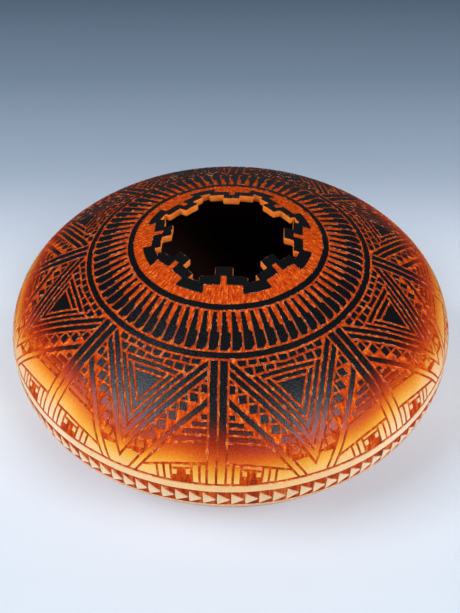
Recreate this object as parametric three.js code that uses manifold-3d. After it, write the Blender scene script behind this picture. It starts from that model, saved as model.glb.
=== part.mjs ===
// Engraved pottery vase: a wide, low clay vessel with a mouth cut in steps, coated with coloured
// slip that stands proud of the carved clay as bands, panels and strips.
// Millimetres, +Z up, standing on its foot with the origin at the middle of the foot's underside.
import * as THREE from 'three';
import { mergeVertices } from 'three/addons/utils/BufferGeometryUtils.js';
import Module from 'manifold-3d';

// Clay body, measured on the bare clay
const BODY_RADIUS = 101.1;
const WIDEST_HEIGHT = 46;
const SHOULDER_FULLNESS = 17;
const CROWN_RISE = 50.8;
const CROWN_SLOPE = THREE.MathUtils.degToRad(16.8);
const DOME_REACH = 73.2;
const FOOT_RADIUS = 40;
const FOOT_EDGE = 1.2;
const FOOT_SLOPE = THREE.MathUtils.degToRad(24);
const FOOT_REACH = 47;
const BOWL_FULLNESS = 21;
const SHOULDER_WALL = 3.6;
const BOWL_WALL = 4.4;
const FLOOR_THICKNESS = 6;

// Slip coat and the cut lines between its pieces
const SLIP_THICKNESS = 0.5;
const SLIP_SEAT = 0.02;
const CUT_LINE = 0.8;

// Mouth cut in steps, and the black border that follows the steps
const MOUTH_TEETH = 8;
const PATTERN_TURN = THREE.MathUtils.degToRad(-93.2);
const TOOTH_TIP_RADIUS = 23.6;
const TOOTH_HALF_WIDTH = 3.6;
const STEP_RISE = 4;
const STEP_HALF_WIDTH = 9.8;
const BORDER_WIDTH = 4.2;
const PEG_HALF_WIDTH = 1.2;
const BLOCK_HALF_WIDTH = 8;
const BLOCK_DEPTH = 4.7;
const CROWN_MARGIN = 3.6;

// Bands round the dome, by radius from the axis outwards from the mouth border
const MOUTH_FIELD_WIDTH = 4.2;
const RING_WIDTH = 2.1;
const FEATHER_BAND_WIDTH = 15.8;

// Bands round the rim, by distance along the wall from the widest line
const TRIANGLE_BAND_DROP = 6.4;
const TRIANGLE_BAND_WIDTH = 8.4;
const RIM_BAND_WIDTH = 3.6;
const LOWER_LINE_WIDTH = 2.4;

// Strips that part the shoulder's panels
const DIVIDER_WIDTH = 7.2;

// Facets
const TURN_SEGMENTS = 64;
const DOME_STEP = 0.1;
const BOWL_STEP = 0.16;
const LINING_STEPS = 7;
const CORNER_STEPS = 3;
const SOLVE_STEPS = 50;
const MERGE_DISTANCE = 1e-4;

const wasm = await Module();
wasm.setup();

const materials = {
  clay: { color: 0xcd500c, roughness: 0.85, metalness: 0 },
  blackSlip: { color: 0x14181a, roughness: 0.45, metalness: 0 },
  fadedSlip: { color: 0xbe500a, roughness: 0.5, metalness: 0 },
  creamSlip: { color: 0xe8be92, roughness: 0.5, metalness: 0 },
};

// Radii of the mouth's steps and of the border's corners
const stepRadius = TOOTH_TIP_RADIUS + STEP_RISE;
const notchRadius = stepRadius + STEP_RISE;
const pegRadius = TOOTH_TIP_RADIUS + BORDER_WIDTH;
const blockRadius = stepRadius + BORDER_WIDTH;
const cornerRadius = blockRadius + BLOCK_DEPTH;

// Outer clay curves, both starting at the widest line
const crownRadius = TOOTH_TIP_RADIUS - CROWN_MARGIN;
const dome = new THREE.CubicBezierCurve(
  new THREE.Vector2(BODY_RADIUS, WIDEST_HEIGHT),
  new THREE.Vector2(BODY_RADIUS, WIDEST_HEIGHT + SHOULDER_FULLNESS),
  new THREE.Vector2(
    crownRadius + DOME_REACH * Math.cos(CROWN_SLOPE),
    WIDEST_HEIGHT + CROWN_RISE - DOME_REACH * Math.sin(CROWN_SLOPE),
  ),
  new THREE.Vector2(crownRadius, WIDEST_HEIGHT + CROWN_RISE),
);
const bowl = new THREE.CubicBezierCurve(
  new THREE.Vector2(BODY_RADIUS, WIDEST_HEIGHT),
  new THREE.Vector2(BODY_RADIUS, WIDEST_HEIGHT - BOWL_FULLNESS),
  new THREE.Vector2(
    FOOT_RADIUS + FOOT_REACH * Math.cos(FOOT_SLOPE),
    FOOT_EDGE + FOOT_REACH * Math.sin(FOOT_SLOPE),
  ),
  new THREE.Vector2(FOOT_RADIUS, FOOT_EDGE),
);

// A place on the wall is a station: 0 at the widest line, 1 at the dome's end and -1 at the foot.
// wallPoint gives its radius and height, moved out of the clay by lift (into it where negative).
function wallPoint(station, lift) {
  const curve = station < 0 ? bowl : dome;
  const t = Math.abs(station);
  const along = bezierDirection(curve, t);
  const outward = new THREE.Vector2(along.y, -along.x).multiplyScalar(station < 0 ? -1 : 1);
  return curve.getPoint(t).addScaledVector(outward, lift);
}

function bezierDirection({ v0, v1, v2, v3 }, t) {
  const near = v1.clone().sub(v0).multiplyScalar((1 - t) * (1 - t));
  const middle = v2.clone().sub(v1).multiplyScalar(2 * t * (1 - t));
  const far = v3.clone().sub(v2).multiplyScalar(t * t);
  return near.add(middle).add(far).normalize();
}

function stationAtDistance(distance) {
  const curve = distance < 0 ? bowl : dome;
  return Math.sign(distance) * curve.getUtoTmapping(Math.abs(distance) / curve.getLength());
}

// The station, between 0 and end, up to which the test holds
function lastStation(end, test) {
  let holds = 0;
  let fails = end;
  for (let step = 0; step < SOLVE_STEPS; step += 1) {
    const middle = (holds + fails) / 2;
    if (test(middle)) {
      holds = middle;
    } else {
      fails = middle;
    }
  }
  return holds;
}

function stationAtRadius(radius) {
  return lastStation(1, (station) => wallPoint(station, 0).x > radius);
}

// Bands of slip, each from its lower to its upper station
function domeBand(innerRadius, outerRadius) {
  return { from: stationAtRadius(outerRadius), to: stationAtRadius(innerRadius) };
}

function rimBand(lowest, width) {
  return { from: stationAtDistance(lowest), to: stationAtDistance(lowest + width) };
}

const innerRingRadius = cornerRadius + MOUTH_FIELD_WIDTH;
const featherRadius = innerRingRadius + RING_WIDTH + CUT_LINE;
const outerRingRadius = featherRadius + FEATHER_BAND_WIDTH + CUT_LINE;
const panelRadius = outerRingRadius + RING_WIDTH + CUT_LINE;
const rimBandFoot = TRIANGLE_BAND_WIDTH - TRIANGLE_BAND_DROP + CUT_LINE;
const lowerLineFoot = -TRIANGLE_BAND_DROP - CUT_LINE - LOWER_LINE_WIDTH;
const panelFoot = rimBandFoot + RIM_BAND_WIDTH + CUT_LINE;
const bands = {
  mouthBorder: { from: stationAtRadius(cornerRadius + CUT_LINE), to: 1 },
  innerRing: domeBand(innerRingRadius, innerRingRadius + RING_WIDTH),
  feathers: domeBand(featherRadius, featherRadius + FEATHER_BAND_WIDTH),
  outerRing: domeBand(outerRingRadius, outerRingRadius + RING_WIDTH),
  panels: { from: stationAtDistance(panelFoot), to: stationAtRadius(panelRadius) },
  rim: rimBand(rimBandFoot, RIM_BAND_WIDTH),
  triangles: rimBand(-TRIANGLE_BAND_DROP, TRIANGLE_BAND_WIDTH),
  lowerLine: rimBand(lowerLineFoot, LOWER_LINE_WIDTH),
};

// Stations where the wall has a ring of corners: every band's edges, so that slip and clay share
// their facets, with more between them where they lie far apart.
function wallStations(lowest, highest, longestStep) {
  const edges = Object.values(bands).flatMap((band) => [band.from, band.to]);
  const inside = edges.filter((edge) => edge > lowest && edge < highest);
  const fixed = [lowest, ...inside, highest].sort((a, b) => a - b);
  const filled = fixed.slice(1).map((end, index) => {
    const start = fixed[index];
    const parts = Math.ceil((end - start) / longestStep);
    return Array.from({ length: parts }, (_, part) => start + ((end - start) * part) / parts);
  });
  return [...filled.flat(), highest];
}

const domeStations = wallStations(0, 1, DOME_STEP);
const bowlStations = wallStations(-1, 0, BOWL_STEP);
const stations = [...bowlStations, ...domeStations.slice(1)];

// Solids and meshes
function spun(profile) {
  const turned = new THREE.LatheGeometry(profile, TURN_SEGMENTS);
  turned.rotateX(Math.PI / 2);
  return turned;
}

function asSolid(geometry) {
  const bare = geometry.clone();
  bare.deleteAttribute('normal');
  bare.deleteAttribute('uv');
  const merged = mergeVertices(bare, MERGE_DISTANCE);
  return new wasm.Manifold(new wasm.Mesh({
    numProp: 3,
    vertProperties: merged.attributes.position.array,
    triVerts: new Uint32Array(merged.index.array),
  }));
}

function asGeometry(solid) {
  const { vertProperties, triVerts } = solid.getMesh();
  const geometry = new THREE.BufferGeometry();
  geometry.setAttribute('position', new THREE.BufferAttribute(vertProperties, 3));
  geometry.setIndex(new THREE.BufferAttribute(triVerts, 1));
  const faceted = geometry.toNonIndexed();
  faceted.computeVertexNormals();
  return faceted;
}

function named(name, geometry, material) {
  const mesh = new THREE.Mesh(geometry, new THREE.MeshStandardMaterial(material));
  mesh.name = name;
  return mesh;
}

// A closed band of slip lying on the clay
function bandGeometry({ from, to }) {
  const across = stations.filter((station) => station >= from && station <= to);
  const outside = across.map((station) => wallPoint(station, SLIP_THICKNESS));
  const inside = across.map((station) => wallPoint(station, SLIP_SEAT)).reverse();
  return spun([...outside, ...inside, outside[0]]);
}

// The inner face of a wall, from the widest line to its last station
function lining(last, wall) {
  return Array.from({ length: LINING_STEPS + 1 }, (_, step) => (
    wallPoint((last * step) / LINING_STEPS, -wall)
  ));
}

// An upright prism over an outline seen from above, tall enough to pass through the whole vase
function uprightPrism(outline) {
  const height = 2 * (WIDEST_HEIGHT + CROWN_RISE);
  const prism = new THREE.ExtrudeGeometry(new THREE.Shape(outline), {
    depth: height,
    bevelEnabled: false,
  });
  return prism.translate(0, 0, -height / 4);
}

function turnOf(index) {
  return PATTERN_TURN + (index * 2 * Math.PI) / MOUTH_TEETH;
}

// Outline seen from above: half a tooth, as radius and side, mirrored and repeated round the mouth
function toothedOutline(half) {
  const mirrored = half.map(([radius, side]) => [radius, -side]).reverse();
  const axis = new THREE.Vector2();
  return Array.from({ length: MOUTH_TEETH }, (_, tooth) => (
    [...mirrored, ...half].map(([radius, side]) => (
      new THREE.Vector2(radius, side).rotateAround(axis, turnOf(tooth))
    ))
  )).flat();
}

const holeOutline = toothedOutline([
  [TOOTH_TIP_RADIUS, TOOTH_HALF_WIDTH],
  [stepRadius, TOOTH_HALF_WIDTH],
  [stepRadius, STEP_HALF_WIDTH],
  [Math.sqrt(notchRadius ** 2 - STEP_HALF_WIDTH ** 2), STEP_HALF_WIDTH],
]);
const holeCutter = asSolid(uprightPrism(holeOutline));

// Between its blocks the border's outer edge is an arc about the axis
const blockAngle = Math.atan(BLOCK_HALF_WIDTH / blockRadius);
const halfPitch = Math.PI / MOUTH_TEETH;
const cornerArc = Array.from({ length: CORNER_STEPS }, (_, step) => {
  const angle = THREE.MathUtils.lerp(blockAngle, halfPitch, step / CORNER_STEPS);
  return [cornerRadius * Math.cos(angle), cornerRadius * Math.sin(angle)];
});
const borderOutline = toothedOutline([
  [pegRadius, PEG_HALF_WIDTH],
  [blockRadius, PEG_HALF_WIDTH],
  [blockRadius, BLOCK_HALF_WIDTH],
  ...cornerArc,
]);

// Lower half: foot, floor and wall up to the widest line
function makeBowl() {
  const floorStation = lastStation(-1, (station) => (
    wallPoint(station, -BOWL_WALL).y > FLOOR_THICKNESS
  ));
  const profile = [
    new THREE.Vector2(0, 0),
    new THREE.Vector2(FOOT_RADIUS - FOOT_EDGE, 0),
    ...bowlStations.map((station) => wallPoint(station, 0)),
    ...lining(floorStation, BOWL_WALL),
    new THREE.Vector2(0, wallPoint(floorStation, -BOWL_WALL).y),
  ];
  return named('bowl', spun(profile), materials.clay);
}

// Upper half: the dome from the widest line to the mouth, with the stepped hole through it
function makeShoulder() {
  const outside = domeStations.map((station) => wallPoint(station, 0));
  const inside = lining(1, SHOULDER_WALL).reverse();
  const blank = asSolid(spun([...outside, ...inside, outside[0]]));
  return named('shoulder', asGeometry(blank.subtract(holeCutter)), materials.clay);
}

function makeMouthBorder() {
  const blank = asSolid(bandGeometry(bands.mouthBorder));
  const trimmed = blank.intersect(asSolid(uprightPrism(borderOutline))).subtract(holeCutter);
  return named('mouth_step_border', asGeometry(trimmed), materials.blackSlip);
}

// Panels and the strips between them, each strip on a line through the middle of a mouth tooth
function makePanelsAndDividers() {
  const field = asSolid(bandGeometry(bands.panels));
  const reach = 2 * BODY_RADIUS;
  const halfStrip = DIVIDER_WIDTH / 2;
  const strip = uprightPrism([
    new THREE.Vector2(0, -halfStrip),
    new THREE.Vector2(reach, -halfStrip),
    new THREE.Vector2(reach, halfStrip),
    new THREE.Vector2(0, halfStrip),
  ]);
  const apex = new THREE.Vector2((halfStrip + CUT_LINE) / Math.sin(halfPitch), 0);
  const farSide = apex.clone().add(new THREE.Vector2(reach, 0));
  const panel = uprightPrism([
    apex,
    farSide.clone().rotateAround(apex, -halfPitch),
    farSide.clone().rotateAround(apex, halfPitch),
  ]);
  const trimmed = (outline, turn) => (
    asGeometry(field.intersect(asSolid(outline.clone().rotateZ(turn))))
  );
  return Array.from({ length: MOUTH_TEETH }, (_, index) => [
    named(`panel_divider_${index + 1}`, trimmed(strip, turnOf(index)), materials.fadedSlip),
    named(`shoulder_panel_${index + 1}`, trimmed(panel, turnOf(index + 0.5)), materials.fadedSlip),
  ]).flat();
}

const vase = new THREE.Group();
vase.add(
  makeBowl(),
  makeShoulder(),
  makeMouthBorder(),
  named('inner_ring_band', bandGeometry(bands.innerRing), materials.blackSlip),
  named('feather_band', bandGeometry(bands.feathers), materials.blackSlip),
  named('outer_ring_band', bandGeometry(bands.outerRing), materials.blackSlip),
  ...makePanelsAndDividers(),
  named('rim_band', bandGeometry(bands.rim), materials.creamSlip),
  named('triangle_band', bandGeometry(bands.triangles), materials.creamSlip),
  named('lower_line', bandGeometry(bands.lowerLine), materials.creamSlip),
);

export default vase;
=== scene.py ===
"""Engraved pottery vase: bare clay, and the coat of slip that is cut away to it in bands and panels."""
import math

import bmesh
import bpy
import numpy as np
from mathutils import Euler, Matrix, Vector, noise


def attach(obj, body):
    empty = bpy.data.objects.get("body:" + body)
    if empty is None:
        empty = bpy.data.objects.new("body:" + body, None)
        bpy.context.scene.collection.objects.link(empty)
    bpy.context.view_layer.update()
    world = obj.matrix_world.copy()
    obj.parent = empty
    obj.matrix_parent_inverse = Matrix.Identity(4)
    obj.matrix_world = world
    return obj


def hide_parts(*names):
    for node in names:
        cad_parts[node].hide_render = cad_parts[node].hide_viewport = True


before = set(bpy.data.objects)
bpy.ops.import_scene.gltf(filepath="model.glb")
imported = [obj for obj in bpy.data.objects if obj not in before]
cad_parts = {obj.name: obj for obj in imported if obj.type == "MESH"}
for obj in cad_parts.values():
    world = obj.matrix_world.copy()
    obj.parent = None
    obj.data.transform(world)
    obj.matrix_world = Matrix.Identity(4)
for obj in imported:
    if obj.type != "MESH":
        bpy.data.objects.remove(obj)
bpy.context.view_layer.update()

# Sizes are in millimetres, and those of the stage in metres. A finished piece is scaled to metres once.
MM = 0.001

# Clay body
BODY_RADIUS = 101.1
WIDEST_HEIGHT = 46.0
SHOULDER_FULLNESS = 17.0
CROWN_RADIUS = 20.0
CROWN_HEIGHT = 96.8
CROWN_SLOPE = math.radians(16.8)
DOME_REACH = 73.2
FOOT_RADIUS = 40.0
FOOT_EDGE = 1.2
FOOT_ROUND = 0.35
FOOT_SLOPE = math.radians(24.0)
FOOT_REACH = 47.0
BOWL_FULLNESS = 21.0
SHOULDER_WALL = 3.6
BOWL_WALL = 4.4
FLOOR_HEIGHT = 6.0

# Slip coat: it starts a little inside the clay, and its edges are worn
SLIP_TOP = 0.24
SLIP_FOOT = -0.15
EDGE_WEAR = 0.15
EDGE_DROP = 0.10
PANEL_LINE = 0.82

# Stepped mouth and its border, as radius from the axis and half widths across a tooth
TEETH = 8
PATTERN_TURN = math.radians(-93.2)
TOOTH_TIP = 23.6
TOOTH_HALF = 3.6
STEP_RISE = 4.0
STEP_HALF = 9.8
BORDER_WIDTH = 4.2
PEG_HALF = 1.2
BLOCK_HALF = 8.0
BLOCK_DEPTH = 4.7
LIP_ROUND = 0.2
UNDER_ROUND = 1.1
CORNER_WEAR = 0.16

# Rings, by radius from the axis
INNER_RING = (40.35, 42.95)
FEATHERS = (43.6, 59.4)
OUTER_RING = (60.1, 62.55)
PANEL_TOP = 63.3

# Bands at the rim, by distance along the wall above the widest line
PANEL_FOOT = 7.3
RIM_BAND = (2.9, 6.3)
TRIANGLES = (-6.4, 2.0)
LOWER_LINE = (-9.6, -7.2)

# Counts round the vase
FEATHER_COUNT = 77
TRIANGLE_COUNT = 116
COLUMNS_PER_TOOTH = 56
RING_COLUMNS = 360
BOWL_COLUMNS = 288

# A hand-held knife wanders slowly along a line and shakes a little
WANDER = 0.22
WANDER_LENGTH = 11.0
SHAKE = 0.07
SHAKE_LENGTH = 2.6
HAND_SEED = 4
noise.seed_set(HAND_SEED)

# The mouth and its rings were drawn by eye: a little wider than deep, and a little left of the axis. Each
# fault is whole up to the first of two distances from the axis, and gone at the second.
WIDER = 0.025
WIDER_WALK = (43.0, 60.0)
OFF_CENTRE = 1.2
OFF_CENTRE_WALK = (62.0, 92.0)

# Squares that a flat sheet is cut into, so that it can bend over the dome
GRID = 3.0

# Edges that are sharper than this stay crisp
PLATE_CREASE = math.radians(28.0)
SHOULDER_CREASE = math.radians(50.0)
BOWL_CREASE = math.radians(40.0)


# The wall's curve, from the mouth over the widest line to the foot. A place on it is the distance
# walked from the axis, so that a drawing is laid on the dome without stretching it outwards.
CURVE_STEPS = 600


def bezier(start, start_pull, end_pull, end):
    """Points of a curve, and the way that it runs at each of them."""
    t = np.linspace(0.0, 1.0, CURVE_STEPS)[:, None]
    a, b, c, d = (np.array(p) for p in (start, start_pull, end_pull, end))
    points = (1 - t) ** 3 * a + 3 * (1 - t) ** 2 * t * b + 3 * (1 - t) * t**2 * c + t**3 * d
    along = (1 - t) ** 2 * (b - a) + 2 * (1 - t) * t * (c - b) + t**2 * (d - c)
    return points, along / np.linalg.norm(along, axis=1, keepdims=True)


def slope_point(start, reach, angle):
    """The place that is a reach away from the start, at an angle to the level."""
    return (start[0] + reach * math.cos(angle), start[1] + reach * math.sin(angle))


widest = (BODY_RADIUS, WIDEST_HEIGHT)
crown = (CROWN_RADIUS, CROWN_HEIGHT)
foot = (FOOT_RADIUS, FOOT_EDGE)
dome_points, dome_along = bezier(
    crown,
    slope_point(crown, DOME_REACH, -CROWN_SLOPE),
    (BODY_RADIUS, WIDEST_HEIGHT + SHOULDER_FULLNESS),
    widest,
)
bowl_points, bowl_along = bezier(
    widest,
    (BODY_RADIUS, WIDEST_HEIGHT - BOWL_FULLNESS),
    slope_point(foot, FOOT_REACH, FOOT_SLOPE),
    foot,
)
wall_points = np.vstack([dome_points, bowl_points[1:]])
wall_along = np.vstack([dome_along, bowl_along[1:]])
wall_steps = np.linalg.norm(np.diff(wall_points, axis=0), axis=1)
wall_walk = CROWN_RADIUS + np.concatenate([[0.0], np.cumsum(wall_steps)])
widest_walk = wall_walk[CURVE_STEPS - 1]
lining_points = dome_points - SHOULDER_WALL * np.stack([-dome_along[:, 1], dome_along[:, 0]], axis=1)


def wall_at(walk, lift):
    """Radius and height of a place on the wall, moved out of the clay by lift."""
    radius, height = (np.interp(walk, wall_walk, wall_points[:, k]) for k in (0, 1))
    along_radius, along_height = (np.interp(walk, wall_walk, wall_along[:, k]) for k in (0, 1))
    return radius - along_height * lift, height + along_radius * lift


def walk_at(radius):
    """Distance walked from the axis to a radius on the dome."""
    return np.interp(radius, dome_points[:, 0], wall_walk[:CURVE_STEPS])


def walk_above_widest(distance):
    return widest_walk - distance


def hand_drawn(points):
    """Points of a flat drawing where the hand put them, by eye and with a knife that strays."""
    moved = np.array(points, float)
    walk = np.hypot(moved[:, 0], moved[:, 1])
    moved[:, 0] *= np.interp(walk, WIDER_WALK, (1.0 + WIDER, 1.0))
    moved[:, 0] -= np.interp(walk, OFF_CENTRE_WALK, (OFF_CENTRE, 0.0))
    for place in moved:
        spot = Vector((place[0], place[1], 0.0))
        stray = noise.noise_vector(spot / WANDER_LENGTH) * WANDER
        stray += noise.noise_vector(spot / SHAKE_LENGTH) * SHAKE
        place[0] += stray.x
        place[1] += stray.y
    return moved


# Modelling steps that are used again and again
def new_piece(name):
    piece = bpy.context.active_object
    piece.name = name
    piece.data.name = name
    return piece


def take(piece):
    """Makes the piece the only selected one, so that operators act on it alone."""
    bpy.ops.object.select_all(action="DESELECT")
    bpy.context.view_layer.objects.active = piece
    piece.select_set(True)


def edit(piece):
    take(piece)
    bpy.ops.object.mode_set(mode="EDIT")
    bpy.ops.mesh.select_mode(type="FACE")


def done():
    bpy.ops.object.mode_set(mode="OBJECT")


def pick_faces(piece, test):
    """Selects only the faces that pass the test."""
    mesh = bmesh.from_edit_mesh(piece.data)
    for face in mesh.faces:
        face.select_set(False)
    for face in mesh.faces:
        if test(face):
            face.select_set(True)
    mesh.select_flush_mode()
    bmesh.update_edit_mesh(piece.data)


def face_outward():
    bpy.ops.mesh.select_all(action="SELECT")
    bpy.ops.mesh.normals_make_consistent(inside=False)


def read_points(piece):
    flat = np.empty(len(piece.data.vertices) * 3)
    piece.data.vertices.foreach_get("co", flat)
    return flat.reshape(-1, 3)


def write_points(piece, points):
    piece.data.vertices.foreach_set("co", np.asarray(points, float).ravel())
    piece.data.update()


def outline_sheet(name, points):
    """A flat sheet with the given outline: a filled circle whose corners are drawn out to it."""
    bpy.ops.object.select_all(action="DESELECT")
    bpy.ops.mesh.primitive_circle_add(vertices=len(points), radius=1.0, fill_type="NGON")
    piece = new_piece(name)
    write_points(piece, [(x, y, 0.0) for x, y in points])
    return piece


def cut_across(point, normal):
    bpy.ops.mesh.bisect(plane_co=(*point, 0.0), plane_no=(*normal, 0.0))


def cut_grid(piece, spacing):
    """Cuts the whole sheet into squares, so that it can follow the dome."""
    points = read_points(piece)
    low, high = points.min(axis=0), points.max(axis=0)
    edit(piece)
    for axis, normal in ((0, (1.0, 0.0)), (1, (0.0, 1.0))):
        for place in np.arange(math.ceil(low[axis] / spacing) * spacing, high[axis], spacing):
            bpy.ops.mesh.select_all(action="SELECT")
            cut_across((place * normal[0], place * normal[1]), normal)
    done()


def raise_plates(piece):
    """Gives the flat sheets their thickness and worn upper edges."""
    edit(piece)
    face_outward()
    mesh = bmesh.from_edit_mesh(piece.data)
    mesh.faces.ensure_lookup_table()
    if mesh.faces[0].normal.z < 0:
        bpy.ops.mesh.flip_normals()
    bpy.ops.transform.translate(value=(0.0, 0.0, SLIP_FOOT))
    rise = SLIP_TOP - EDGE_DROP - SLIP_FOOT
    bpy.ops.mesh.extrude_region_move(TRANSFORM_OT_translate={"value": (0.0, 0.0, rise)})
    bpy.ops.mesh.inset(thickness=EDGE_WEAR, depth=EDGE_DROP)
    face_outward()
    done()


def lay_on_wall(piece):
    """Lays a flat drawing on the wall as the hand drew it, marks its worn edges with the edge paint, which is
    worn slip with painted glints, and scales it to metres.
    """
    flat = hand_drawn(read_points(piece))
    on_top = flat[:, 2] > SLIP_TOP - EDGE_DROP / 2
    # The bevelled edge faces get the worn edge paint, which carries painted glints
    for face in piece.data.polygons:
        high = on_top[list(face.vertices)]
        face.material_index = int(high.any() and not high.all())
    piece.data.materials.append(slip)
    piece.data.materials.append(edge_wear_and_glint)
    walk = np.hypot(flat[:, 0], flat[:, 1])
    radius, height = wall_at(walk, flat[:, 2])
    shrink = radius / walk
    points = np.stack([flat[:, 0] * shrink, flat[:, 1] * shrink, height], axis=1)
    write_points(piece, points * MM)


def smooth(piece, crease=PLATE_CREASE):
    take(piece)
    bpy.ops.object.shade_smooth_by_angle(angle=crease)


def turned(points, angle):
    """Points turned about the axis, with their heights as they were."""
    points = np.array(points, float)
    cosine, sine = math.cos(angle), math.sin(angle)
    x = points[:, 0] * cosine - points[:, 1] * sine
    y = points[:, 0] * sine + points[:, 1] * cosine
    return np.column_stack([x, y, *points.T[2:]])


def polar(walk, angle):
    return (walk * math.cos(angle), walk * math.sin(angle))


def settle(piece, slot, *nodes):
    """Hands a finished piece to the frame, in place of the plain solids that it stands for."""
    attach(piece, "root")
    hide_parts(*nodes)


# Materials
def linear(code):
    """An sRGB hex colour as linear red, green, blue and a full alpha."""
    shares = [int(code[k : k + 2], 16) / 255 for k in (1, 3, 5)]
    return (*[s / 12.92 if s <= 0.04045 else ((s + 0.055) / 1.055) ** 2.4 for s in shares], 1.0)


def add(tree, kind, *inputs, named=None, **settings):
    """Adds a node. An input, given in order or by name, is a value, a socket or a node; None leaves it."""
    node = tree.nodes.new("ShaderNode" + kind)
    for key, value in settings.items():
        setattr(node, key, value)
    for place, value in [*enumerate(inputs), *(named or {}).items()]:
        if isinstance(value, bpy.types.Node):
            value = value.outputs[0]
        if isinstance(value, bpy.types.NodeSocket):
            tree.links.new(value, node.inputs[place])
        elif value is not None:
            node.inputs[place].default_value = value
    return node


def ramp_stops(node, stops):
    elements = node.color_ramp.elements
    while len(elements) < len(stops):
        elements.new(0.5)
    for element, (place, code) in zip(elements, stops):
        element.position = place
        element.color = linear(code)


def start_material(name):
    material = bpy.data.materials.new(name)
    material.use_nodes = True
    tree = material.node_tree
    tree.nodes.clear()
    return material, tree, add(tree, "TexCoord").outputs["Object"]


def per_metre(size_mm):
    """Scale of a noise whose features are about size_mm across."""
    return 1.0 / (size_mm * MM)


# Nearly all of a noise's values lie in this span
NOISE_SPAN = (0.3, 0.7)

# Heights between which the spray goes from cream to black, and the height about which the fade is
# drawn out or pulled together
FADE_SPAN = (36.0 * MM, 86.0 * MM)
FADE_PIVOT = 71.0 * MM

# Knife strokes on the carved clay are this wide at this radius, and this long
STROKE_RADIUS = 38.0
STROKE_WIDTH = 0.7
STROKE_LENGTH = 3.2


def sprayed_slip():
    """Fine clay slip, sprayed in fading colours and lightly polished: satin, with a grainy soft sheen."""
    material, tree, place = start_material("sprayed_slip")
    x, y, z = add(tree, "SeparateXYZ", place).outputs
    outwards = add(tree, "VectorMath", add(tree, "CombineXYZ", x, y), operation="NORMALIZE")
    facing = add(tree, "SeparateXYZ", outwards).outputs[1]

    # The fade is long at the front, short at the front corners and the sides, and higher up at the back
    short = add(tree, "MapRange", facing, -0.98, -0.72, 0.86, 1.62)
    ease = add(tree, "MapRange", facing, -0.60, -0.15, 0.0, -0.34)
    pace = add(tree, "Math", short, ease, operation="ADD")
    above = add(tree, "Math", z, FADE_PIVOT, operation="SUBTRACT")
    fading = add(tree, "Math", above, pace, FADE_PIVOT, operation="MULTIPLY_ADD")
    back = add(tree, "MapRange", y, 30.0 * MM, 90.0 * MM, 0.0, -5.0 * MM)
    height = add(tree, "Math", fading, back, operation="ADD")

    # It drifts with the hand and is grainy. Real drops are too fine to show, so these are coarser.
    drift = add(tree, "TexNoise", place, None, per_metre(55.0), 1.0)
    drifted = add(tree, "MapRange", drift, *NOISE_SPAN, -3.0 * MM, 3.0 * MM)
    grain = add(tree, "TexNoise", place, None, per_metre(0.8), 2.0)
    grained = add(tree, "MapRange", grain, *NOISE_SPAN, -0.5 * MM, 0.5 * MM)
    shifted = add(tree, "Math", height, drifted, operation="ADD")
    spray = add(tree, "Math", shifted, grained, operation="ADD")
    share = add(tree, "MapRange", spray, *FADE_SPAN)
    fade = add(tree, "ValToRGB", share)
    ramp_stops(fade, [
        (0.00, "#EDD3B4"), (0.18, "#E9C9A0"), (0.25, "#E2BE90"), (0.30, "#E2BC8B"), (0.35, "#DFB475"),
        (0.41, "#DBA851"), (0.46, "#D4922F"), (0.51, "#C87011"), (0.55, "#BA4C02"), (0.59, "#A03202"),
        (0.63, "#841C01"), (0.67, "#5E1401"), (0.70, "#380D04"), (0.73, "#170706"), (0.76, "#08090A"),
    ])

    # The gold is redder round the sides than at the front
    sideways = add(tree, "MapRange", facing, -0.80, -0.45)
    golden = add(tree, "MapRange", share, 0.22, 0.38)
    both = add(tree, "Math", sideways, golden, operation="MULTIPLY")
    green = add(tree, "MapRange", both, 0.0, 1.0, 1.0, 0.86)
    warm = add(tree, "CombineXYZ", 1.0, green, 1.0)
    warmed = add(tree, "VectorMath", fade, warm, operation="MULTIPLY")
    mottle = add(tree, "TexNoise", place, None, per_metre(9.0), 4.0)
    tone = add(tree, "MapRange", mottle, *NOISE_SPAN, 0.94, 1.05)
    colour = add(tree, "VectorMath", warmed, named={"Scale": tone}, operation="SCALE")

    # A fine tooth breaks up the sheen, which is slightly blue. It too is coarser than the real one, to show.
    tooth = add(tree, "TexNoise", place, None, per_metre(0.55), 1.0)
    polish = add(tree, "MapRange", tooth, 0.35, 0.65, 0.18, 0.34)
    bump = add(tree, "Bump", named={"Strength": 1.0, "Distance": 0.11 * MM, "Height": tooth})
    shader = add(tree, "BsdfPrincipled", named={
        "Base Color": colour,
        "Roughness": polish,
        "Specular IOR Level": 0.34,
        "Specular Tint": linear("#DEE8F2"),
        "Normal": bump,
    })
    add(tree, "OutputMaterial", shader)
    return material


def broken_slip_and_glints():
    """Edge of the slip where the knife broke it: a thin dull line, with pale flecks that are painted glints
    of the lamps on the cut edge.
    """
    material, tree, place = start_material("broken_slip_and_glints")
    height = add(tree, "SeparateXYZ", place).outputs[2]
    edge = add(tree, "ValToRGB", add(tree, "MapRange", height, 50.0 * MM, 70.0 * MM))
    ramp_stops(edge, [(0.0, "#B4622C"), (0.5, "#8A3A10"), (1.0, "#3A1408")])
    # Painted highlight: pale flecks along the worn edge stand for glints of light on the cut edges
    glint_flecks = add(tree, "TexNoise", place, None, per_metre(2.0), 2.0)
    painted_glints = add(tree, "MapRange", glint_flecks, 0.57, 0.66)
    pale = linear("#C89878")[:3]
    colour = add(tree, "VectorMath", painted_glints, pale, edge, operation="MULTIPLY_ADD")
    shader = add(tree, "BsdfPrincipled", named={"Base Color": colour, "Roughness": 0.45})
    add(tree, "OutputMaterial", shader)
    return material


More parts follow.
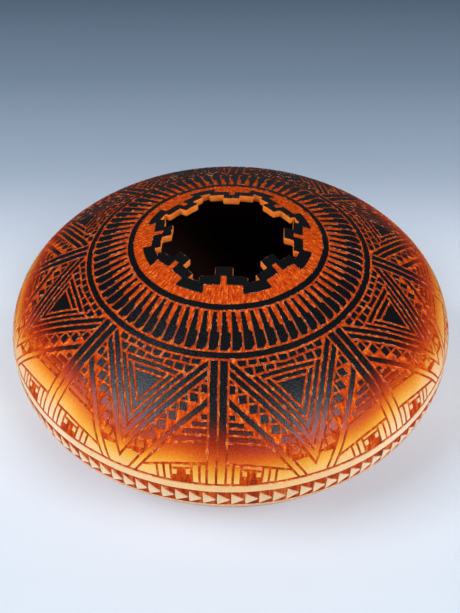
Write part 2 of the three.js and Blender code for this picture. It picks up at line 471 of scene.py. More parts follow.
def carved_clay():
    """Bare orange clay left rough by the knife: matte, scored with short strokes towards the mouth."""
    material, tree, place = start_material("carved_clay")
    x, y, z = add(tree, "SeparateXYZ", place).outputs
    angle = add(tree, "Math", y, x, operation="ARCTAN2")
    radius = add(tree, "VectorMath", add(tree, "CombineXYZ", x, y), operation="LENGTH").outputs["Value"]
    across = add(tree, "Math", angle, STROKE_RADIUS / STROKE_WIDTH, operation="MULTIPLY")
    along = add(tree, "Math", radius, per_metre(STROKE_LENGTH), operation="MULTIPLY")
    strokes = add(tree, "TexNoise", add(tree, "CombineXYZ", across, along), None, 1.0, 2.0)
    cuts = add(tree, "MapRange", strokes, 0.36, 0.64)

    # The clay's pits are too fine to show, so these are coarser
    pits = add(tree, "TexNoise", place, None, per_metre(0.8), 3.0)
    relief = add(tree, "Math", cuts, 0.55, pits, operation="MULTIPLY_ADD")
    colour = add(tree, "ValToRGB", add(tree, "MapRange", relief, 0.40, 1.15))
    ramp_stops(colour, [(0.05, "#862601"), (0.40, "#B03701"), (0.68, "#BE4402"), (1.0, "#DA7428")])

    # Painted shade: the clay is made darker low down towards the rim, where its cuts are narrow
    rim = add(tree, "MapRange", z, 50.0 * MM, 62.0 * MM, 0.84, 1.0)
    painted_shade_colour = add(tree, "VectorMath", colour, named={"Scale": rim}, operation="SCALE")
    bump = add(tree, "Bump", named={"Strength": 0.8, "Distance": 0.25 * MM, "Height": relief})
    shader = add(tree, "BsdfPrincipled", named={
        "Base Color": painted_shade_colour,
        "Roughness": 0.75,
        "Specular IOR Level": 0.12,
        "Normal": bump,
    })
    add(tree, "OutputMaterial", shader)
    return material


def trimmed_clay():
    """Clay cut clean through at the mouth: matte and smoother than the carved ground."""
    material, tree, place = start_material("trimmed_clay")
    patches = add(tree, "TexNoise", place, None, per_metre(5.0), 4.0)
    colour = add(tree, "ValToRGB", add(tree, "MapRange", patches, *NOISE_SPAN))
    ramp_stops(colour, [(0.0, "#DB6812"), (1.0, "#EC8A30")])
    drag = add(tree, "TexNoise", place, None, per_metre(1.2), 3.0)
    bump = add(tree, "Bump", named={"Strength": 0.5, "Distance": 0.15 * MM, "Height": drag})
    shader = add(tree, "BsdfPrincipled", named={"Base Color": colour, "Roughness": 0.65, "Normal": bump})
    add(tree, "OutputMaterial", shader)
    return material


def burnished_clay():
    """Outside of the bowl, rubbed with a stone: smooth orange clay with faint level streaks."""
    material, tree, place = start_material("burnished_clay")
    stretch = add(tree, "Mapping", place, named={"Scale": (1.0, 1.0, 9.0)})
    streaks = add(tree, "TexNoise", stretch, None, per_metre(18.0), 5.0)
    colour = add(tree, "ValToRGB", add(tree, "MapRange", streaks, *NOISE_SPAN))
    ramp_stops(colour, [(0.0, "#B4531C"), (0.55, "#C9682C"), (1.0, "#DB8648")])
    polish = add(tree, "MapRange", streaks, *NOISE_SPAN, 0.38, 0.55)
    bump = add(tree, "Bump", named={"Strength": 0.3, "Distance": 0.2 * MM, "Height": streaks})
    shader = add(tree, "BsdfPrincipled", named={"Base Color": colour, "Roughness": polish, "Normal": bump})
    add(tree, "OutputMaterial", shader)
    return material


def lining_painted_shade():
    """Inside of the vase: painted shade, a dull, uneven brown-black that stands for the dark of its unlit
    inside.
    """
    material, tree, place = start_material("lining_painted_shade")
    patches = add(tree, "TexNoise", place, None, per_metre(16.0), 5.0)
    colour = add(tree, "ValToRGB", add(tree, "MapRange", patches, *NOISE_SPAN))
    ramp_stops(colour, [(0.0, "#240903"), (1.0, "#451308")])
    shader = add(tree, "BsdfPrincipled", named={"Base Color": colour, "Roughness": 0.8})
    add(tree, "OutputMaterial", shader)
    return material


slip = sprayed_slip()
edge_wear_and_glint = broken_slip_and_glints()
ground = carved_clay()
trimmed = trimmed_clay()
burnished = burnished_clay()
lining_shade_paint = lining_painted_shade()


# Outlines of the stepped mouth, seen from above
def tooth_half_points(corners, arc_radius, counts):
    """Points along half a tooth: straight between the corners, then an arc about the axis."""
    points = []
    for start, end, count in zip(corners, corners[1:], counts):
        for step in range(count):
            points.append(np.array(start) + (np.array(end) - np.array(start)) * step / count)
    first = math.atan2(corners[-1][1], corners[-1][0])
    for step in range(counts[-1] + 1):
        points.append(np.array(polar(arc_radius, first + (math.pi / TEETH - first) * step / counts[-1])))
    return points


def all_teeth(half):
    """Mirrors half a tooth and repeats it round the mouth, starting at the tooth's middle."""
    pitch = 2 * math.pi / TEETH
    loops = []
    for index in range(TEETH):
        loops.append(turned(half[:-1], PATTERN_TURN + index * pitch))
        back = [(radius, -side) for radius, side in half[:0:-1]]
        loops.append(turned(back, PATTERN_TURN + (index + 1) * pitch))
    return np.vstack(loops)


# Points on each straight stretch of half a tooth, and on its arc
STEP_COUNTS = (5, 5, 8, 5, 5)
step_radius = TOOTH_TIP + STEP_RISE
notch_radius = step_radius + STEP_RISE
hole_outline = all_teeth(tooth_half_points(
    [
        (TOOTH_TIP, 0.0),
        (TOOTH_TIP, TOOTH_HALF),
        (step_radius, TOOTH_HALF),
        (step_radius, STEP_HALF),
        (math.sqrt(notch_radius**2 - STEP_HALF**2), STEP_HALF),
    ],
    notch_radius,
    STEP_COUNTS,
))
corner_radius = step_radius + BORDER_WIDTH + BLOCK_DEPTH
border_outline = all_teeth(tooth_half_points(
    [
        (TOOTH_TIP + BORDER_WIDTH, 0.0),
        (TOOTH_TIP + BORDER_WIDTH, PEG_HALF),
        (step_radius + BORDER_WIDTH, PEG_HALF),
        (step_radius + BORDER_WIDTH, BLOCK_HALF),
        (math.sqrt(corner_radius**2 - BLOCK_HALF**2), BLOCK_HALF),
    ],
    corner_radius,
    STEP_COUNTS,
))


def grown(outline, distance):
    """A closed outline moved outwards, away from the axis side, by an even distance."""
    before = outline - np.roll(outline, 1, axis=0)
    after = np.roll(outline, -1, axis=0) - outline
    normals = []
    for edge in (before, after):
        normal = np.stack([edge[:, 1], -edge[:, 0]], axis=1)
        normals.append(normal / np.linalg.norm(normal, axis=1, keepdims=True))
    both = normals[0] + normals[1]
    share = 1 + (normals[0] * normals[1]).sum(axis=1, keepdims=True)
    return outline + distance * both / share


# Keeps a straight stretch, whose points have nowhere to go, from dividing by nothing
NEXT_TO_NOTHING = 1e-9


def worn_corners(outline, amount):
    """Pulls each corner point a little towards its neighbours."""
    middle = (np.roll(outline, 1, axis=0) + np.roll(outline, -1, axis=0)) / 2
    offset = middle - outline
    length = np.linalg.norm(offset, axis=1, keepdims=True)
    pull = np.minimum(length, amount) / np.maximum(length, NEXT_TO_NOTHING)
    return outline + offset * pull


def to_drawing(outline):
    """A seen-from-above outline as a flat drawing of the wall."""
    radius = np.hypot(outline[:, 0], outline[:, 1])
    return outline * (walk_at(radius) / radius)[:, None]


def to_seen(outline):
    """An outline of the flat drawing as it is seen from above."""
    walk = np.hypot(outline[:, 0], outline[:, 1])
    return outline * (wall_at(walk, 0.0)[0] / walk)[:, None]


hole_outline = worn_corners(hole_outline, CORNER_WEAR)
border_outline = worn_corners(border_outline, CORNER_WEAR)


def spin_round(piece, columns, weld):
    """Spins a section once round the axis and closes the seam."""
    edit(piece)
    bpy.ops.mesh.select_mode(type="EDGE")
    bpy.ops.mesh.select_all(action="SELECT")
    bpy.ops.mesh.spin(steps=columns, angle=2 * math.pi, center=(0, 0, 0), axis=(0, 0, 1))
    bpy.ops.mesh.select_all(action="SELECT")
    bpy.ops.mesh.remove_doubles(threshold=weld)
    done()


# A ring starts as a round blank, this far from the axis. Its section's first corner is a quarter lap on.
BLANK_REACH = 2.0
BLANK_WELD = 1e-5
FIRST_CORNER = 0.25


def ring_blank(name, columns, rings):
    """A ring spun from a section that has as many corners as there are rings of points."""
    corners = len(rings)
    bpy.ops.object.select_all(action="DESELECT")
    bpy.ops.mesh.primitive_circle_add(
        vertices=corners, radius=1.0, location=(BLANK_REACH, 0.0, 0.0), rotation=(math.pi / 2, 0.0, 0.0)
    )
    piece = new_piece(name)
    bpy.ops.object.transform_apply(location=True, rotation=True)
    spin_round(piece, columns, BLANK_WELD)
    blank = read_points(piece)
    turn = np.arctan2(blank[:, 1], blank[:, 0]) / (2 * math.pi)
    lap = np.arctan2(blank[:, 2], np.hypot(blank[:, 0], blank[:, 1]) - BLANK_REACH) / (2 * math.pi)
    column = np.rint(turn * columns).astype(int) % columns
    ring = np.rint((lap - FIRST_CORNER) * corners).astype(int) % corners
    write_points(piece, np.stack(rings, axis=1)[column, ring])
    edit(piece)
    face_outward()
    done()
    return piece, ring


def level(outline, heights):
    """A flat outline with heights: one for all of its points, or one for each."""
    return np.column_stack([outline, np.broadcast_to(heights, len(outline))])


# Clay shoulder with the stepped mouth cut through it
OUTER_RINGS = 40
BLEND_RINGS = 6
MOUTH_CIRCLE = 40.0
ROUND_STEPS = 4


def circle_points(radius, columns, start):
    angles = start + np.arange(columns) * 2 * math.pi / columns
    return np.stack([radius * np.cos(angles), radius * np.sin(angles)], axis=1)


def outer_height(flat):
    return np.interp(np.hypot(*flat.T), dome_points[:, 0], dome_points[:, 1])


def inner_height(flat):
    return np.interp(np.hypot(*flat.T), lining_points[:, 0], lining_points[:, 1])


def mouth_edge(distance):
    """The mouth's outline as the hand cut it, moved out by a distance."""
    return to_seen(hand_drawn(to_drawing(grown(hole_outline, distance))))


def make_shoulder():
    """Rings of points from the widest line up to the mouth, down its cut edge and back inside."""
    columns = TEETH * COLUMNS_PER_TOOTH
    circle = circle_points(MOUTH_CIRCLE, columns, PATTERN_TURN)
    rings = []
    for walk in np.linspace(widest_walk, walk_at(MOUTH_CIRCLE), OUTER_RINGS):
        radius, height = wall_at(walk, 0.0)
        rings.append(level(circle_points(radius, columns, PATTERN_TURN), height))
    lip = mouth_edge(LIP_ROUND)
    for step in range(1, BLEND_RINGS + 1):
        flat = circle + (lip - circle) * step / BLEND_RINGS
        rings.append(level(flat, outer_height(flat)))
    wall_start = len(rings) - 1
    for step in range(1, ROUND_STEPS + 1):
        angle = math.pi / 2 * step / ROUND_STEPS
        flat = mouth_edge(LIP_ROUND * (1 - math.sin(angle)))
        rings.append(level(flat, outer_height(flat) - LIP_ROUND * (1 - math.cos(angle))))
    for step in range(ROUND_STEPS + 1):
        angle = math.pi / 2 * step / ROUND_STEPS
        flat = mouth_edge(UNDER_ROUND * (1 - math.cos(angle)))
        rings.append(level(flat, inner_height(flat) + UNDER_ROUND * (1 - math.sin(angle))))
    wall_end = len(rings) - 1
    under = rings[-1][:, :2]
    for step in range(1, BLEND_RINGS + 1):
        flat = under + (circle - under) * step / BLEND_RINGS
        rings.append(level(flat, inner_height(flat)))
    last_lining = np.searchsorted(lining_points[:, 0], MOUTH_CIRCLE)
    for index in np.linspace(last_lining, CURVE_STEPS - 1, OUTER_RINGS)[1:].astype(int):
        radius, height = lining_points[index]
        rings.append(level(circle_points(radius, columns, PATTERN_TURN), height))
    piece, ring_of = ring_blank("clay_shoulder", columns, [ring * MM for ring in rings])
    # The inside faces get the lining's painted shade
    for material in (ground, trimmed, lining_shade_paint):
        piece.data.materials.append(material)
    for face in piece.data.polygons:
        lowest = min(ring_of[vertex] for vertex in face.vertices)
        highest = max(ring_of[vertex] for vertex in face.vertices)
        if highest - lowest > 1 or lowest >= wall_end:
            face.material_index = 2
        elif lowest >= wall_start:
            face.material_index = 1
    smooth(piece, SHOULDER_CREASE)
    settle(piece, "clay", "shoulder")


# Clay bowl, turned from its section. A face that looks up more than LEVEL_FACE is its floor.
BOWL_RINGS = 30
FLOOR_BLEND = 6.0
BOWL_WELD = 0.002
LEVEL_FACE = 0.9


def make_bowl():
    """A section down the wall to the foot, across to the axis and back up inside, spun round."""
    outside = [wall_at(walk, 0.0) for walk in np.linspace(widest_walk, wall_walk[-1], BOWL_RINGS)]
    lining = bowl_points - BOWL_WALL * np.stack([-bowl_along[:, 1], bowl_along[:, 0]], axis=1)
    lining = lining[lining[:, 1] > FLOOR_HEIGHT][:: CURVE_STEPS // BOWL_RINGS]
    section = [*outside, (FOOT_RADIUS - FOOT_ROUND, FOOT_ROUND), (FOOT_RADIUS - FOOT_EDGE, 0.0), (0.0, 0.0)]
    section += [(0.0, FLOOR_HEIGHT), (lining[-1][0] - FLOOR_BLEND, FLOOR_HEIGHT), *lining[::-1]]
    bpy.ops.object.select_all(action="DESELECT")
    bpy.ops.mesh.primitive_circle_add(vertices=len(section), radius=1.0)
    piece = new_piece("clay_bowl")
    write_points(piece, [(radius * MM, 0.0, height * MM) for radius, height in section])
    spin_round(piece, BOWL_COLUMNS, BOWL_WELD * MM)
    edit(piece)
    face_outward()
    done()
    # The inside and the floor of the bowl get the lining's painted shade
    for material in (burnished, ground, lining_shade_paint):
        piece.data.materials.append(material)
    carved_above = wall_at(walk_above_widest(LOWER_LINE[0]), 0.0)[1] * MM
    for face in piece.data.polygons:
        inward = face.normal.x * face.center.x + face.normal.y * face.center.y < 0
        floor = face.normal.z > LEVEL_FACE
        if inward or floor:
            face.material_index = 2
        elif face.center.z > carved_above:
            face.material_index = 1
    smooth(piece, BOWL_CREASE)
    settle(piece, "clay", "bowl")


# Rings and bands of slip
def slip_ring(name, outer, inner, slot, node, across=2):
    """A ring of slip between two outlines of the flat drawing, with worn upper edges."""
    outer = np.asarray(outer)
    inner = np.asarray(inner)
    inwards = inner - outer
    width = np.linalg.norm(inwards, axis=1, keepdims=True)
    worn = inwards / width * EDGE_WEAR
    rings = [level(outer, SLIP_FOOT), level(outer, SLIP_TOP - EDGE_DROP), level(outer + worn, SLIP_TOP)]
    for step in range(1, across):
        rings.append(level(outer + inwards * step / across, SLIP_TOP))
    rings += [level(inner - worn, SLIP_TOP), level(inner, SLIP_TOP - EDGE_DROP), level(inner, SLIP_FOOT)]
    piece, _ = ring_blank(name, len(outer), rings)
    lay_on_wall(piece)
    smooth(piece)
    settle(piece, slot, node)


def plain_ring(name, outer_walk, inner_walk, slot, node):
    outer = circle_points(outer_walk, RING_COLUMNS, PATTERN_TURN)
    inner = circle_points(inner_walk, RING_COLUMNS, PATTERN_TURN)
    slip_ring(name, outer, inner, slot, node)


# Plates repeated round the vase
def repeat_round(piece, count):
    """Copies the plate round the axis with an array whose step is a turn."""
    bpy.ops.object.select_all(action="DESELECT")
    bpy.ops.object.empty_add(rotation=(0.0, 0.0, 2 * math.pi / count))
    step = bpy.context.active_object
    take(piece)
    array = piece.modifiers.new("round", "ARRAY")
    array.count = count
    array.use_relative_offset = False
    array.use_object_offset = True
    array.offset_object = step
    bpy.ops.object.modifier_apply(modifier=array.name)
    bpy.data.objects.remove(step)


# A feather's outline, by its share of the band's width and of the pitch round the vase
FEATHER_STEPS = (
    (0.0, 0.48), (0.11, 0.50), (0.14, 0.58), (0.24, 0.56),
    (0.27, 0.64), (0.37, 0.62), (0.40, 0.68), (0.51, 0.67),
)
FEATHER_TIP = ((0.55, 0.93), (0.88, 0.94), (1.0, 0.64))
FEATHER_LEFT = 0.06


def make_feathers():
    """Each feather has one straight side, and one that is cut back in steps towards the mouth."""
    inner, outer = (walk_at(radius) for radius in FEATHERS)
    pitch = 2 * math.pi / FEATHER_COUNT
    places = [(1.0, FEATHER_LEFT), (0.5, FEATHER_LEFT), (0.0, FEATHER_LEFT), *FEATHER_STEPS, *FEATHER_TIP]
    points = [polar(inner + (outer - inner) * along, pitch * across) for along, across in places]
    piece = outline_sheet("feather_ring", points)
    cut_grid(piece, GRID)
    raise_plates(piece)
    write_points(piece, turned(read_points(piece), PATTERN_TURN))
    repeat_round(piece, FEATHER_COUNT)
    lay_on_wall(piece)
    smooth(piece)
    settle(piece, "black_slip", "feather_band")


# A triangle's gaps to the band's edges, the share of its height at which it points, and its worn corners
TRIANGLE_GAPS = (0.2, 0.1)
TRIANGLE_POINT = 0.52
TRIANGLE_WEAR = 0.5


def make_triangles():
    """Cream triangles at the widest line, all pointing the same way round."""
    low, high = (walk_above_widest(distance) for distance in TRIANGLES)
    pitch = 2 * math.pi / TRIANGLE_COUNT
    top = high + TRIANGLE_GAPS[1]
    bottom = low - TRIANGLE_GAPS[0]
    middle = top + (bottom - top) * TRIANGLE_POINT
    wear = TRIANGLE_WEAR
    places = [(bottom, 0.06), (bottom - wear, 0.16), (middle + wear, 0.9), (middle, 0.97)]
    places += [(middle - wear, 0.9), (top + wear, 0.16), (top, 0.06), (middle, 0.03)]
    piece = outline_sheet("rim_triangles", [polar(walk, pitch * share) for walk, share in places])
    raise_plates(piece)
    write_points(piece, turned(read_points(piece), PATTERN_TURN))
    repeat_round(piece, TRIANGLE_COUNT)
    lay_on_wall(piece)
    smooth(piece)
    settle(piece, "cream_slip", "triangle_band")


# Strips between the panels: each is a pair of bars with a line between them
DIVIDER_HALF = 3.6


def copy_round(piece, name, index, offset, slot, node):
    """A copy with its own mesh, turned to its place and laid on the wall."""
    copy = piece.copy()
    copy.data = piece.data.copy()
    copy.name = name
    copy.data.name = name
    bpy.context.scene.collection.objects.link(copy)
    turn = PATTERN_TURN + (index + offset) * 2 * math.pi / TEETH - math.pi / 2
    write_points(copy, turned(read_points(copy), turn))
    lay_on_wall(copy)
    smooth(copy)
    settle(copy, slot, node)


def panel_edges():
    """Distances walked from the axis to the panels' upper and lower edges."""
    return walk_at(PANEL_TOP) - PANEL_LINE / 2, walk_above_widest(PANEL_FOOT) + PANEL_LINE / 2


def open_lines():
    """Opens every scored line to the knife's width."""
    bpy.ops.mesh.select_all(action="SELECT")
    bpy.ops.mesh.inset(thickness=PANEL_LINE / 2, use_individual=True)
    bpy.ops.mesh.select_all(action="INVERT")
    bpy.ops.mesh.delete(type="FACE")


def make_dividers():
    top, rim = panel_edges()
    half = DIVIDER_HALF + PANEL_LINE / 2
    piece = outline_sheet("divider", [(-half, top), (half, top), (half, rim), (-half, rim)])
    edit(piece)
    bpy.ops.mesh.select_all(action="SELECT")
    cut_across((0.0, 0.0), (1.0, 0.0))
    open_lines()
    done()
    cut_grid(piece, GRID)
    raise_plates(piece)
    for index in range(TEETH):
        name = f"divider_bars_{index + 1}"
        copy_round(piece, name, index, 0.0, "faded_slip", f"panel_divider_{index + 1}")
    bpy.data.objects.remove(piece)


# Panels: straight-line ornament, drawn once on half a panel, mirrored, and copied round
PANEL_OFFSET = 4.4
ARM_LEAN = math.radians(30.0)
ARM_FOOT = 98.0
STRIP = 3.0
LATTICE_WIDTH = 6.2
LATTICE_PITCH = 5.6
LATTICE_FOOT = 106.0
LATTICE_STEPS = range(-12, 9)
BRICK_ANGLE = math.radians(3.6)
BRICK_COURSE = 2.8
BRICK_COLUMNS = 6
BRICK_FACETS = 8
BRICK_FACET = math.radians(18.0) / BRICK_FACETS
NEST_STEP = 2.5
NEST_RINGS = 2
BAR = 2.7
BARS = 5
PLAIN_FIELD = 8.1
PYRAMID_STEP = 3.0
PYRAMID_ROWS = 2
PYRAMID_START = 6.4
PYRAMID_END = PYRAMID_START + 3 * PYRAMID_STEP
SMALLEST_PLATE = 1.75
SHORTEST_EDGE = 0.6
ARC_POINTS = 9
APEX_STEP = 0.02
MIRROR_WELD = 0.01


class HalfPanel:
    """Half a panel: x across from its middle line, y outwards from the vase's axis."""

    def __init__(self):
        self.top, self.rim = panel_edges()
        lean = math.pi / TEETH
        self.side_gap = PANEL_OFFSET - PANEL_LINE / 2
        self.side = (math.sin(lean), math.cos(lean))
        self.across = (math.cos(lean), -math.sin(lean))
        self.arm = (-math.sin(ARM_LEAN), math.cos(ARM_LEAN))
        self.arm_across = (math.cos(ARM_LEAN), math.sin(ARM_LEAN))
        arcs = []
        for walk in (self.top, self.rim):
            start = -math.asin(PANEL_LINE / 2 / walk)
            end = lean - math.asin(self.side_gap / walk)
            angles = np.linspace(start, end, ARC_POINTS)
            arcs.append([(walk * math.sin(a), walk * math.cos(a)) for a in angles])
        self.piece = outline_sheet("panel", [*arcs[0], *arcs[1][::-1]])

    def arm_distance(self, x, y):
        """Distance of a place outside the inner edge of the slanting arm."""
        return x * self.arm_across[0] + (y - ARM_FOOT) * self.arm_across[1]

    def arm_place(self, distance, along):
        x = self.arm_across[0] * distance + self.arm[0] * along
        y = ARM_FOOT + self.arm_across[1] * distance + self.arm[1] * along
        return (x, y)

    def side_distance(self, x, y):
        """Distance of a place in from the divider."""
        return -x * self.across[0] - y * self.across[1] - self.side_gap

    def side_along(self, x, y):
        return x * self.side[0] + y * self.side[1]

    def side_place(self, reach, along):
        out = reach + self.side_gap
        return (along * self.side[0] - out * self.across[0], along * self.side[1] - out * self.across[1])

    def pick(self, where):
        """Selects the plates whose middles are where the test allows."""
        def allowed(face):
            middle = face.calc_center_median()
            return where(middle.x, middle.y)

        pick_faces(self.piece, allowed)

    def score(self, point, normal, where):
        self.pick(where)
        cut_across(point, normal)

    def score_beside_arm(self, distance, where):
        self.score(self.arm_place(distance, 0.0), self.arm_across, where)

    def score_beside_side(self, reach, where):
        self.score(self.side_place(reach, 0.0), self.across, where)

    def score_along_side(self, along, where):
        self.score(self.side_place(0.0, along), self.side, where)

    def carve(self, where):
        self.pick(where)
        bpy.ops.mesh.delete(type="FACE")


ARM_WIDTH = 2 * STRIP
LATTICE_END = ARM_WIDTH + LATTICE_WIDTH
FIELD_START = LATTICE_END + STRIP


def draw_arms(panel):
    for distance in (0.0, STRIP, ARM_WIDTH, LATTICE_END, FIELD_START):
        panel.score_beside_arm(distance, lambda x, y: True)


def draw_bricks(panel):
    """Two courses of bricks under the outer ring."""
    foot = panel.top + 2 * BRICK_COURSE
    middle = panel.top + BRICK_COURSE

    def in_bricks(x, y):
        return panel.arm_distance(x, y) < 0 and y < foot

    panel.score((0.0, foot), (0.0, 1.0), lambda x, y: panel.arm_distance(x, y) < 0)
    for step in range(BRICK_FACETS):
        angle = (step + 0.5) * BRICK_FACET
        normal = (math.sin(angle), math.cos(angle))
        point = (middle * normal[0], middle * normal[1])
        panel.score(
            point, normal, lambda x, y: in_bricks(x, y) and step == int(math.atan2(x, y) / BRICK_FACET)
        )
    for column in range(BRICK_COLUMNS):
        for course, shift in ((0, 0.5), (1, 1.0)):
            angle = (column + shift) * BRICK_ANGLE
            panel.score(
                (0.0, 0.0),
                (math.cos(angle), -math.sin(angle)),
                lambda x, y: in_bricks(x, y) and course == int(math.hypot(x, y) > middle),
            )


def draw_nested_triangle(panel):
    """Triangles inside each other, between the bricks and the arms, round a solid one."""
    top = panel.top + 2 * BRICK_COURSE
    for ring in range(NEST_RINGS):
        inside = -ring * NEST_STEP
        high = top + ring * NEST_STEP
        panel.score_beside_arm(
            inside - NEST_STEP, lambda x, y: panel.arm_distance(x, y) < inside and y > high
        )
        panel.score(
            (0.0, high + NEST_STEP),
            (0.0, 1.0),
            lambda x, y: panel.arm_distance(x, y) < inside - NEST_STEP and y > high,
        )


def draw_lattice(panel):
    """Row of diamonds and triangles beside the arm, and a solid plate where it comes to the rim."""

    def in_lattice(x, y):
        return ARM_WIDTH < panel.arm_distance(x, y) < LATTICE_END and y < LATTICE_FOOT

    panel.score(
        (0.0, LATTICE_FOOT), (0.0, 1.0), lambda x, y: ARM_WIDTH < panel.arm_distance(x, y) < LATTICE_END
    )
    slant = math.atan2(LATTICE_WIDTH, LATTICE_PITCH)
    lean = math.atan2(panel.arm[1], panel.arm[0])
    for step in LATTICE_STEPS:
        for angle in (lean + slant, lean - slant):
            point = panel.arm_place(ARM_WIDTH, step * LATTICE_PITCH)
            panel.score(point, (-math.sin(angle), math.cos(angle)), in_lattice)
    far_side = LATTICE_END - LATTICE_WIDTH / 4
    panel.carve(lambda x, y: in_lattice(x, y) and panel.arm_distance(x, y) > far_side)


def field_apex(panel):
    """Distance along the divider at which the field between it and the arm's strips begins."""
    along = panel.top
    while panel.arm_distance(*panel.side_place(0.0, along)) < FIELD_START:
        along += APEX_STEP
    return along


def draw_terrace(panel):
    """Terrace of bars that grows by steps from the divider; gives back where it ends."""
    start = field_apex(panel)
    growth = math.tan(math.pi / TEETH + ARM_LEAN) * BAR

    def in_field(x, y):
        return panel.arm_distance(x, y) > FIELD_START

    for bar in range(1, BARS + 1):
        panel.score_along_side(start + bar * BAR, in_field)
    for bar in range(BARS):
        low = start + bar * BAR
        reach = bar * growth

        def in_bar(x, y):
            return in_field(x, y) and low < panel.side_along(x, y) < low + BAR

        panel.score_beside_side(reach, in_bar)
        panel.carve(lambda x, y: in_bar(x, y) and panel.side_distance(x, y) > reach)
    rim_start = start + BARS * BAR + PLAIN_FIELD
    panel.score_along_side(rim_start, in_field)
    return rim_start


def draw_rim_field(panel, start):
    """Field at the rim: upright bars beside a stepped pyramid that is carved out."""

    def in_rim(x, y):
        return panel.arm_distance(x, y) > FIELD_START and panel.side_along(x, y) > start

    for reach in (STRIP, PYRAMID_START, PYRAMID_END, PYRAMID_END + STRIP, PYRAMID_END + 2 * STRIP):
        panel.score_beside_side(reach, in_rim)

    def in_box(x, y):
        return in_rim(x, y) and PYRAMID_START < panel.side_distance(x, y) < PYRAMID_END

    middle = panel.side_gap + (PYRAMID_START + PYRAMID_END) / 2
    foot = math.sqrt(panel.rim**2 - middle**2)
    for step in range(PYRAMID_ROWS):
        low = foot - step * PYRAMID_STEP
        ends = (PYRAMID_START + step * PYRAMID_STEP, PYRAMID_END - step * PYRAMID_STEP)

        def in_row(x, y):
            return in_box(x, y) and low - PYRAMID_STEP < panel.side_along(x, y) < low + PYRAMID_STEP / 2

        panel.score_along_side(low - PYRAMID_STEP, in_box)
        for reach in ends:
            panel.score_beside_side(reach, in_row)
        panel.carve(lambda x, y: in_row(x, y) and ends[0] < panel.side_distance(x, y) < ends[1])


def finish_panel(piece):
    """Opens the lines, mirrors the half panel so that its plates meet in the middle, and gives it relief."""
    edit(piece)
    bpy.ops.mesh.select_all(action="SELECT")
    bpy.ops.mesh.remove_doubles(threshold=SHORTEST_EDGE)
    pick_faces(piece, lambda face: 4 * face.calc_area() / face.calc_perimeter() < SMALLEST_PLATE)
    bpy.ops.mesh.delete(type="FACE")
    open_lines()
    done()
    cut_grid(piece, GRID)
    take(piece)
    mirror = piece.modifiers.new("halves", "MIRROR")
    mirror.merge_threshold = MIRROR_WELD
    bpy.ops.object.modifier_apply(modifier=mirror.name)
    raise_plates(piece)


def draw_panel():
    panel = HalfPanel()
    edit(panel.piece)
    draw_arms(panel)
    draw_bricks(panel)
    draw_nested_triangle(panel)
    draw_lattice(panel)
    draw_rim_field(panel, draw_terrace(panel))
    done()
    finish_panel(panel.piece)
    return panel.piece


def make_panels():
    piece = draw_panel()
    for index in range(TEETH):
        name = f"engraved_panel_{index + 1}"
        copy_round(piece, name, index, 0.5, "faded_slip", f"shoulder_panel_{index + 1}")
    bpy.data.objects.remove(piece)


make_shoulder()
make_bowl()
slip_ring(
    "stepped_mouth_border",
    to_drawing(border_outline),
    to_drawing(grown(hole_outline, LIP_ROUND / 2)),
    "black_slip",
    "mouth_step_border",
    across=4,
)
plain_ring("inner_ring", walk_at(INNER_RING[1]), walk_at(INNER_RING[0]), "black_slip", "inner_ring_band")
make_feathers()
plain_ring("outer_ring", walk_at(OUTER_RING[1]), walk_at(OUTER_RING[0]), "black_slip", "outer_ring_band")
make_dividers()
make_panels()
plain_ring(
    "plain_rim_band", walk_above_widest(RIM_BAND[0]), walk_above_widest(RIM_BAND[1]), "cream_slip", "rim_band"
)
make_triangles()
plain_ring(
    "lower_edge_line",
    walk_above_widest(LOWER_LINE[0]),
    walk_above_widest(LOWER_LINE[1]),
    "cream_slip",
    "lower_line",
)


# Stage: a floor with painted light and shade, pale round the vase and darkening to slate blue behind it. The
# polished slip mirrors the two softboxes and the room, while the floor and the fill lamps stay out of its
# gloss.
FLOOR_RADIUS = 6.0
FLOOR_SIDES = 96
GRADE_SPAN = (-0.13, 0.47)
AIM_HEIGHT = 0.06


def floor_paint():
    """Matte card with painted light and shade: a little darker in front, brightest round the vase, and
    darkening to slate behind it as painted fall-off of the light.
    """
    material, tree, place = start_material("floor_painted_light")
    depth = add(tree, "SeparateXYZ", place).outputs[1]
    painted_light_grade = add(tree, "ValToRGB", add(tree, "MapRange", depth, *GRADE_SPAN))
    # Painted light and shade: darker in front, lighter round the vase, and falling off to slate behind
    ramp_stops(painted_light_grade, [
        (0.03, "#C8D4DF"), (0.10, "#D1DDE8"), (0.18, "#E6F2FB"), (0.31, "#E6F2FF"), (0.37, "#D2DDEA"),
        (0.42, "#BDCAD9"), (0.47, "#A8B5C6"), (0.51, "#99A8B9"), (0.56, "#8E9EB1"), (0.74, "#6E8093"),
        (1.0, "#4F6073"),
    ])
    shader = add(tree, "BsdfPrincipled", named={
        "Base Color": painted_light_grade,
        "Roughness": 0.9,
        "Specular IOR Level": 0.1,
    })
    add(tree, "OutputMaterial", shader)
    return material


def make_stage():
    bpy.ops.object.select_all(action="DESELECT")
    bpy.ops.mesh.primitive_circle_add(vertices=FLOOR_SIDES, radius=FLOOR_RADIUS, fill_type="NGON")
    floor = new_piece("floor")
    floor.data.materials.append(floor_paint())
    floor.visible_glossy = False


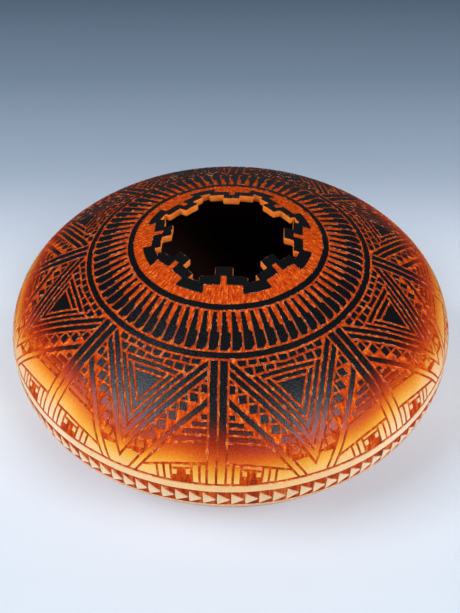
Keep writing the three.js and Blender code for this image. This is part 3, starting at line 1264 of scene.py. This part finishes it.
def soft_lamp(name, azimuth, elevation, distance, size, power, colour, mirrored):
    """A lamp that faces the vase, placed by its direction from it in degrees."""
    a = math.radians(azimuth)
    e = math.radians(elevation)
    way = Vector((math.sin(a) * math.cos(e), -math.cos(a) * math.cos(e), math.sin(e)))
    lamp = bpy.data.lights.new(name, "AREA")
    lamp.shape = "RECTANGLE"
    lamp.size, lamp.size_y = size
    lamp.energy = power
    lamp.color = linear(colour)[:3]
    box = bpy.data.objects.new(name, lamp)
    box.visible_glossy = mirrored
    box.location = Vector((0.0, 0.0, AIM_HEIGHT)) + way * distance
    box.rotation_euler = way.to_track_quat("Z", "Y").to_euler()
    bpy.context.scene.collection.objects.link(box)


def softbox(name, azimuth, elevation, power):
    soft_lamp(name, azimuth, elevation, 2.2, (1.1, 1.1), power, "#FCFCFF", mirrored=True)


def side_fill(name, azimuth, power):
    soft_lamp(name, azimuth, 15, 4.4, (2.4, 1.4), power, "#FFF8F0", mirrored=False)


def make_light():
    softbox("left_softbox", -64, 48, 30.5)
    softbox("right_softbox", 46, 45, 29.5)
    soft_lamp("front_fill", 0, 22, 2.2, (2.7, 0.7), 7.0, "#FFFFFF", mirrored=False)
    side_fill("left_fill", -84, 96.0)
    side_fill("right_fill", 84, 88.0)


def make_room():
    """Grey room light, stronger from in front of the vase than from behind it."""
    world = bpy.data.worlds.new("studio")
    world.use_nodes = True
    tree = world.node_tree
    sky = tree.nodes["Background"]
    sky.inputs[0].default_value = linear("#9A9DA2")
    depth = add(tree, "SeparateXYZ", add(tree, "TexCoord").outputs["Generated"]).outputs[1]
    strength = add(tree, "MapRange", depth, -0.3, 0.6, 0.52, 0.26)
    tree.links.new(strength.outputs[0], sky.inputs[1])
    bpy.context.scene.world = world


# Camera at the photograph's angle, its place in millimetres
CAMERA_PLACE = (-0.3, -271.9, 313.1)
CAMERA_TILT = math.radians(45.96)
CAMERA_LENS = 46.98


def make_camera():
    camera = bpy.data.objects.new("camera", bpy.data.cameras.new("camera"))
    camera.location = Vector(CAMERA_PLACE) * MM
    camera.rotation_euler = Euler((CAMERA_TILT, 0.0, 0.0))
    camera.data.lens = CAMERA_LENS
    camera.data.clip_start = 0.01
    bpy.context.scene.collection.objects.link(camera)
    bpy.context.scene.camera = camera


make_stage()
make_light()
make_room()
make_camera()
bpy.context.scene.view_settings.view_transform = "Standard"
